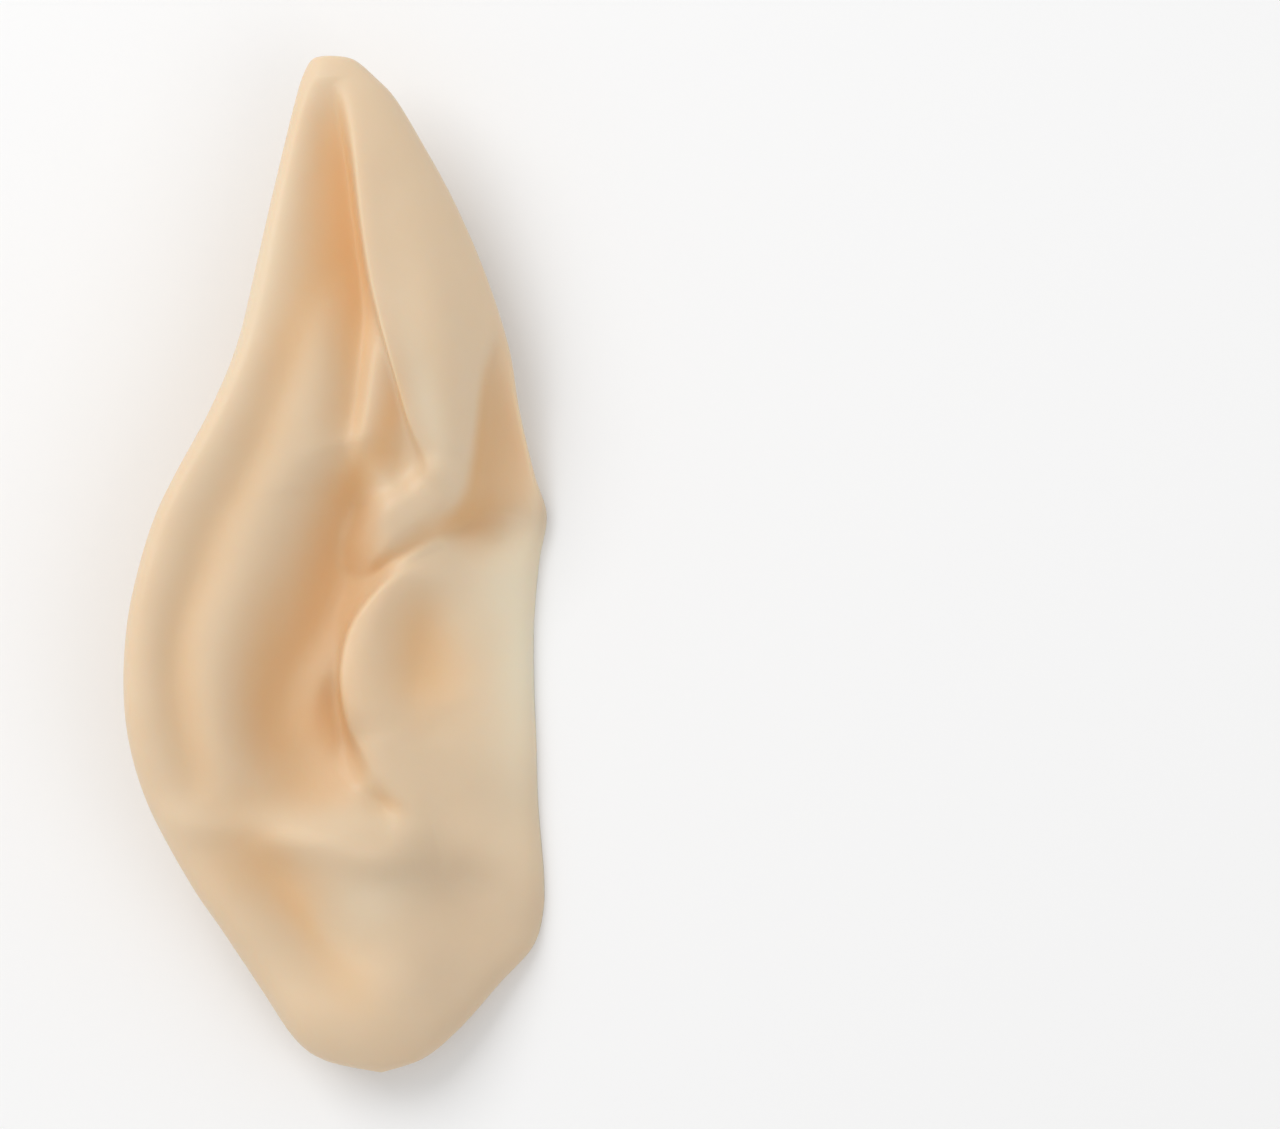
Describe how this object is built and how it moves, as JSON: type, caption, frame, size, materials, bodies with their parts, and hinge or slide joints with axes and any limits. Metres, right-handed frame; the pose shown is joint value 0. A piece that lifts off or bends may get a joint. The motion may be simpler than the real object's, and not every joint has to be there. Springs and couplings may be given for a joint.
{
  "type": "slip-on elf ear",
  "caption": "Pointed full elf ear of cast latex, hollow inside, that slips over the wearer's own ear.",
  "frame": {"origin": "centre of the bounding box in X and Y, on the trimmed edge that lies against the head, in Z", "axes": "+X towards the wearer's face, +Y towards the pointed tip, +Z away from the head"},
  "size_m": [0.0494, 0.12, 0.0215],
  "materials": {
    "latex": "satin skin-toned cast latex, pinker in the folds and paler at the trimmed edge"
  },
  "bodies": {
    "root": {"ear_shell": "latex"}
  },
  "joints": []
}
